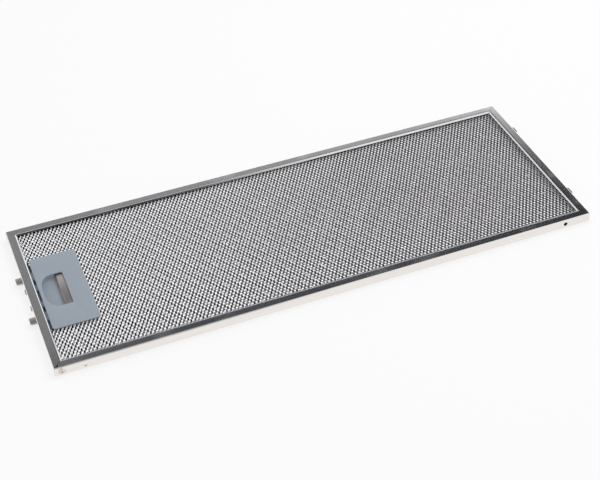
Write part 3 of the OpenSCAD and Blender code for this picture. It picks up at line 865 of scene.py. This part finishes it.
# %% [markdown]
# ## Expanded sheets
# Expanded metal is slit in staggered rows and pulled open, so nothing is woven or lost. What
# stays uncut is a bond, and between bonds run strands that tilt as they open. The tilt is what
# the eye sees: bonds and the strands that lean one way mirror the bright parts of the room, and
# the other strands mirror its dark horizon. Each bond and each strand is one flat bar with four
# long faces, and all bars of a sheet are worked out at once from arrays of bond places.

# %% Make the two outer sheets
BAR_RING = np.array([[-1, -1], [1, -1], [1, 1], [-1, 1]], float)
BAR_QUADS = np.array([[k, 4 + k, 4 + (k + 1) % 4, (k + 1) % 4] for k in range(4)])


def bars(starts, ends, half_width, half_gauge, across, normal):
    """Eight points for each bar: start and end, each plus and minus the half width times the
    direction across and the half gauge times the normal."""
    offsets = BAR_RING[:, :1] * half_width * across + BAR_RING[:, 1:] * half_gauge * normal
    return np.stack([starts[:, None] + offsets, ends[:, None] + offsets], axis=1).reshape(-1, 3)


def lattice(low, high, pitch):
    """Column and row numbers of the bonds that fit between two corners, and their places. Bonds
    sit where column plus row is even, half a pitch apart in each direction."""
    half_pitch = np.asarray(pitch) / 2
    counts = ((high[:2] - low[:2]) / half_pitch).astype(int)
    column, row = np.meshgrid(np.arange(counts[0] + 1), np.arange(counts[1] + 1), indexing="ij")
    start = (low[:2] + high[:2]) / 2 - counts * half_pitch / 2
    plan = start + np.stack([column, row], axis=-1) * half_pitch
    return (column + row) % 2 == 0, plan


PLATE_LAP = 2 * MM
PLACE_SPREAD = np.array([0.035, 0.05, 0.02]) * MM


def expanded_sheet(name, low, high, pitch, strand, gauge, bond, tilt, lift=None, seed=1):
    """A sheet of bars. With the sheet's tilt, across is (cos tilt, 0, -sin tilt) and the normal
    (sin tilt, 0, cos tilt). A bond is two strands wide. From its right half a strand runs up to
    the left half of the bond at the upper right, and from its left half to the upper left."""
    is_bond, plan = lattice(low, high, pitch)
    notch_x = plate_high[0] - PLATE_LAP
    notch_y = (plate_high[1] - plate_low[1]) / 2 - PLATE_LAP
    covered = (plan[..., 0] < notch_x) & (np.abs(plan[..., 1] - middle[1]) < notch_y)
    is_bond = is_bond & ~covered
    spread = np.random.default_rng(seed).normal(0, 1, (*plan.shape[:2], 3)) * PLACE_SPREAD
    height = (low[2] + high[2]) / 2 + (0 if lift is None else lift(plan))
    place = np.concatenate([plan, np.broadcast_to(height, plan.shape[:2])[..., None]], axis=-1)
    place = place + spread
    across = np.array([np.cos(tilt), 0, -np.sin(tilt)])
    normal = np.array([np.sin(tilt), 0, np.cos(tilt)])
    along = np.array([0, bond / 2, 0])
    aside = across * strand / 2
    place_bonds = place[is_bond]
    right = is_bond[:-1, :-1] & is_bond[1:, 1:]
    left = is_bond[1:, :-1] & is_bond[:-1, 1:]
    runs = [
        (place_bonds - along, place_bonds + along, strand),
        (place[:-1, :-1][right] + along + aside, place[1:, 1:][right] - along - aside, strand / 2),
        (place[1:, :-1][left] + along - aside, place[:-1, 1:][left] - along + aside, strand / 2),
    ]
    points = np.concatenate([bars(*run, gauge / 2, across, normal) for run in runs])
    faces = (np.arange(len(points) // 8)[:, None, None] * 8 + BAR_QUADS).reshape(-1, 4)
    return new_mesh(name, points, faces)


def add_sheet(name, node, metal, slot, margin, **shape):
    """An expanded sheet in the place of a node, its edge hidden under the frame's flanges."""
    low, high = corners(node)
    inset = np.array([margin, margin, 0.0])
    sheet = expanded_sheet(name, low + inset, high - inset, **shape)
    finish_piece(sheet, metal, smooth_angle=1)
    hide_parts(node)


OUTER_PITCH = np.array([3.33, 5.56]) * MM
OUTER_SHAPE = {"pitch": OUTER_PITCH, "strand": 0.92 * MM, "gauge": 0.28 * MM, "bond": 1.2 * MM}
OUTER_TILT = np.radians(20)
OUTER_MARGIN = 2.6 * MM
for side, metal, tilt, seed in (("front", front_metal, OUTER_TILT, 1), ("back", back_painted_shade, -OUTER_TILT, 2)):
    node = f"{side}_mesh"
    add_sheet(f"{side}_sheet", node, metal, node, OUTER_MARGIN, tilt=tilt, seed=seed, **OUTER_SHAPE)

# %% [markdown]
# Between the outer sheets lie five crimped foils of the same kind, coarser and of thinner metal,
# which catch the grease. Their crimps cross from layer to layer so that the layers can't nest.
# They are seen only through the openings, so they are simple, and their near-black colour is painted shade
# for the shade inside the stack.

# %% Make the crimped foils
FOIL_PITCH = np.array([4.8, 9.0]) * MM
FOIL_SHAPE = {"pitch": FOIL_PITCH, "strand": 1.1 * MM, "gauge": 0.12 * MM, "bond": 1.6 * MM}
CRIMP_PITCH = 9.0 * MM
CRIMP_LIFT = 0.08 * MM


def crimp(axis):
    """A wave along one axis: its lift is the sine of the way along it over the crimp's pitch."""
    return lambda plan: CRIMP_LIFT * np.sin(plan[..., axis] * 2 * np.pi / CRIMP_PITCH)


for layer in range(1, 6):
    add_sheet(
        f"foil_{layer}",
        f"inner_layer_{layer}",
        foil_painted_shade,
        "inner_foil",
        0.3 * MM,
        tilt=np.radians(9 if layer % 2 else -9),
        lift=crimp((layer + 1) % 2),
        seed=10 + layer,
        **FOIL_SHAPE,
    )

# %% [markdown]
# ## The handle plate
# The finger plate is one moulding. Its rim lies on the mesh, a scoop with a round back leads the
# fingers in, and the slot beside the scoop shows the latch bar. Seen from the middle of the
# scoop's mouth, every outline of the plate is met once in each direction. So the plate is a ring:
# for every angle the outlines are found by halving, and the section between them is the same.

# %% Find the outlines of the plate
PLATE_R = 2.2 * MM
RECESS_REACH = 13.1 * MM
RECESS_POWER = 2.8
SLOT_HALF = 19.75 * MM
SLOT_R = 1.0 * MM
pole = np.array([plate_low[0] + 16.1 * MM, middle[1]])
slot_end = plate_low[0] + 22.8 * MM
plate_mid = (plate_low + plate_high) / 2
plate_half = (plate_high - plate_low) / 2


def in_rounded_box(x, y, centre, half, radius):
    """Whether a point is in a box with round corners: its distance outside the box that the
    corner centres make is less than the corner radius."""
    over_x = np.clip(np.abs(x - centre[0]) - half[0] + radius, 0, None)
    over_y = np.clip(np.abs(y - centre[1]) - half[1] + radius, 0, None)
    return np.hypot(over_x, over_y) < radius


def in_plate(x, y, grow):
    return in_rounded_box(x, y, plate_mid[:2], plate_half[:2] + grow, PLATE_R + grow)


def in_recess(x, y, grow):
    """The scoop's mouth to the left of the pole, where the powers of x over the reach and of y
    over the half width add up to less than one, and the slot to its right."""
    reach = np.abs(x - pole[0]) / (RECESS_REACH + grow)
    aside = np.abs(y - pole[1]) / (SLOT_HALF + grow)
    scoop = reach**RECESS_POWER + aside**RECESS_POWER < 1
    slot = in_rounded_box(x, y, pole, (slot_end - pole[0] + grow, SLOT_HALF + grow), SLOT_R + grow)
    return np.where(x < pole[0], scoop, slot)


def outline(inside, angles, grow=0.0):
    """Points of an outline at the given angles about the pole. Each ray is halved forty times,
    and the half that holds the outline is kept."""
    near = np.zeros(len(angles))
    far = np.full(len(angles), 80 * MM)
    direction = np.stack([np.cos(angles), np.sin(angles)], axis=-1)
    for _ in range(40):
        half_way = (near + far) / 2
        hit = inside(*(pole + half_way[:, None] * direction).T, grow)
        near = np.where(hit, half_way, near)
        far = np.where(hit, far, half_way)
    return pole + near[:, None] * direction


def even_angles(inside, spacing, turn):
    """Angles whose points on the outline are a spacing apart, and closer where it bends: the
    length over the spacing plus the turning over a turn counts one for each step."""
    fine = np.linspace(-np.pi, np.pi, 6001)
    points = outline(inside, fine)
    steps = np.diff(points, axis=0)
    heading = np.unwrap(np.arctan2(steps[:, 1], steps[:, 0]))
    turning = np.abs(np.diff(heading, append=heading[-1]))
    cost = np.concatenate([[0], np.cumsum(np.linalg.norm(steps, axis=1) / spacing + turning / turn)])
    count = int(cost[-1]) + 1
    return np.interp(np.linspace(0, cost[-1], count, endpoint=False), cost, fine)


plate_angles = even_angles(in_plate, 2.5 * MM, np.radians(12))
recess_angles = even_angles(in_recess, 1.2 * MM, np.radians(8))
ring_angles = np.unique(np.concatenate([plate_angles, recess_angles, [-np.pi / 2, np.pi / 2]]))
ring_angles = ring_angles[np.diff(ring_angles, append=10) > np.radians(0.05)]
print("plate ring of", len(ring_angles), "angles")

# %% [markdown]
# The plate's skin, the scoop's bowl and the apron between scoop and slot are each one sheet of
# these outlines at several heights. Joined, they become one moulding with its screw bosses.

# %% Make the handle plate
SKIN_T = 1.0 * MM
PLATE_EDGE = 0.4 * MM
MOUTH_EDGE = 0.3 * MM
SCOOP_WALL = 0.9 * MM
SCOOP_FLOOR = 2.6 * MM
SCOOP_FILLET = 0.9 * MM
FLOOR_END = 27.4 * MM
BOSS_R = 2.0 * MM
BOSS_H = 3.2 * MM
skin_low = plate_high[2] - SKIN_T


def level_line(plan, height):
    """Points of a plan outline at a height."""
    return np.concatenate([plan, np.full((len(plan), 1), height)], axis=1)


def plate_skin():
    """The ring between the plate's outline and the mouth: up the outer edge, round it, across
    the top, round the mouth's edge and down."""
    turn = np.radians(np.linspace(0, 90, 5))
    rows = [level_line(outline(in_plate, ring_angles), skin_low)]
    for angle in turn:
        inset = -PLATE_EDGE * (1 - np.cos(angle))
        height = plate_high[2] - PLATE_EDGE * (1 - np.sin(angle))
        rows.append(level_line(outline(in_plate, ring_angles, inset), height))
    for angle in turn[::-1]:
        grow = MOUTH_EDGE * (1 - np.cos(angle))
        height = plate_high[2] - MOUTH_EDGE * (1 - np.sin(angle))
        rows.append(level_line(outline(in_recess, ring_angles, grow), height))
    rows.append(level_line(outline(in_recess, ring_angles), skin_low))
    faces = grid_faces(len(rows), len(ring_angles), closed_rows=True, closed_columns=True)
    skin = new_mesh("skin", np.concatenate(rows), faces)
    face_outwards(skin)
    return skin


def scoop_bowl():
    """The scoop's wall and floor as a sheet: down the mouth's outline, through a fillet and
    inward to the pole, with the wall's thickness behind it."""
    is_back = (recess_angles > np.pi / 2) | (recess_angles < -np.pi / 2)
    angles = np.concatenate([[np.pi / 2], np.mod(recess_angles[is_back], 2 * np.pi), [1.5 * np.pi]])
    angles = np.sort(angles)
    mouth = outline(in_recess, angles)
    rows = [level_line(mouth, height) for height in (skin_low, SCOOP_FLOOR + SCOOP_FILLET)]
    for angle in np.radians(np.linspace(0, 90, 6)[1:]):
        inset = -SCOOP_FILLET * (1 - np.cos(angle))
        height = SCOOP_FLOOR + SCOOP_FILLET * (1 - np.sin(angle))
        rows.append(level_line(outline(in_recess, angles, inset), height))
    floor_line = outline(in_recess, angles, -SCOOP_FILLET)
    rows += [level_line(pole + (floor_line - pole) * share, SCOOP_FLOOR) for share in (0.66, 0.33, 0.0)]
    bowl = new_mesh("bowl", np.concatenate(rows), grid_faces(len(rows), len(angles)))
    close_seams(bowl)
    thicken(bowl, SCOOP_WALL)
    return bowl


def scoop_apron():
    """The floor's run under the latch bar to the far side of the slot."""
    low = (pole[0], pole[1] - SLOT_HALF - SCOOP_WALL, SCOOP_FLOOR - SCOOP_WALL)
    high = (plate_low[0] + FLOOR_END, pole[1] + SLOT_HALF + SCOOP_WALL, SCOOP_FLOOR)
    return bar_between("apron", low, high)


def screw_bosses():
    """Four posts under the plate that take the tray's screws."""
    posts = []
    for number in range(1, 5):
        low, high = corners(f"tray_screw_{number}")
        x, y = ((low + high) / 2)[:2]
        posts.append(rod("post", (x, y, skin_low - BOSS_H / 2), (0, 0, 1), BOSS_R, BOSS_H / 2, 24))
    return posts


handle = as_one("finger_plate", [plate_skin(), scoop_bowl(), scoop_apron(), *screw_bosses()])
finish_piece(handle, plate_plastic, smooth_angle=40)
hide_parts("handle_plate")

# %% [markdown]
# ## Tray, latch, screws and hooks
# These shapes are right in the model and only too sharp. A model's mesh is loose triangles, so a
# copy is merged first, and its flat triangles are dissolved into whole faces. A Bevel modifier
# then breaks each edge a little, which gives it the thin highlight of a real edge.

# %% Ease the edges of the small parts
def eased_copy(name, node, edge, material, body="filter"):
    """A merged copy of a node, with flat faces made whole and its edges broken."""
    piece = bpy.data.objects.new(name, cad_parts[node].data.copy())
    bpy.context.scene.collection.objects.link(piece)

    def make_whole(work):
        bmesh.ops.remove_doubles(work, verts=work.verts, dist=0.001 * MM)
        bmesh.ops.dissolve_limit(work, angle_limit=np.radians(1), verts=work.verts, edges=work.edges)
        bmesh.ops.recalc_face_normals(work, faces=work.faces)

    edit_mesh(piece, make_whole)
    break_edges(piece, edge, 35)
    apply_modifiers(piece)
    finish_piece(piece, material, body, smooth_angle=40)
    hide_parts(node)
    return piece


eased_copy("back_tray", "handle_tray", 0.15 * MM, tray_plastic)
eased_copy("latch_bar", "latch_slider", 0.12 * MM, latch_steel, "latch")
for side in ("front", "rear"):
    eased_copy(f"hook_{side}", f"hook_tab_{side}", 0.12 * MM, hook_steel)
for number in range(1, 5):
    eased_copy(f"screw_{number}", f"tray_screw_{number}", 0.06 * MM, screw_steel)

# %% [markdown]
# ## Springs
# Two compression springs push the latch out. Each is a wire carried along a helix, and its end
# coils lie closer, as they do on a spring that is ground flat.

# %% Coil the springs
WIRE_R = 0.3 * MM
TURNS = 9


def coil(name, low, high):
    """A wire along a helix about the X axis: the place along X follows the share of the turns,
    slowed near both ends, and the section turns with the wire's direction."""
    stations = TURNS * 20
    share = np.linspace(0, 1, stations + 1)
    eased = share - 0.055 * np.sin(2 * np.pi * share)
    centre = (low + high) / 2
    radius = (high[1] - low[1]) / 2 - WIRE_R
    turn = 2 * np.pi * TURNS * share
    spoke = np.stack([np.zeros_like(turn), np.cos(turn), np.sin(turn)], axis=-1)
    line = radius * spoke + (0, centre[1], centre[2])
    line[:, 0] = low[0] + WIRE_R + (high[0] - low[0] - 2 * WIRE_R) * eased
    tangent = np.gradient(line, axis=0)
    tangent /= np.linalg.norm(tangent, axis=1, keepdims=True)
    side = np.cross(tangent, spoke)
    radii = np.full(stations + 1, WIRE_R)
    radii[[0, -1]] = 0
    line[0], line[-1] = line[1], line[-2]
    angles = np.linspace(0, 2 * np.pi, 8, endpoint=False)[None, :, None]
    ring = np.cos(angles) * spoke[:, None] + np.sin(angles) * side[:, None]
    points = line[:, None] + radii[:, None, None] * ring
    piece = new_mesh(name, points.reshape(-1, 3), grid_faces(stations + 1, 8, closed_columns=True))
    close_seams(piece)
    face_outwards(piece)
    return piece


for side in ("front", "rear"):
    low, high = corners(f"latch_spring_{side}")
    spring = finish_piece(coil(f"spring_{side}", low, high), wire_steel, smooth_angle=60)
    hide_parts(f"latch_spring_{side}")
    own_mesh(spring)
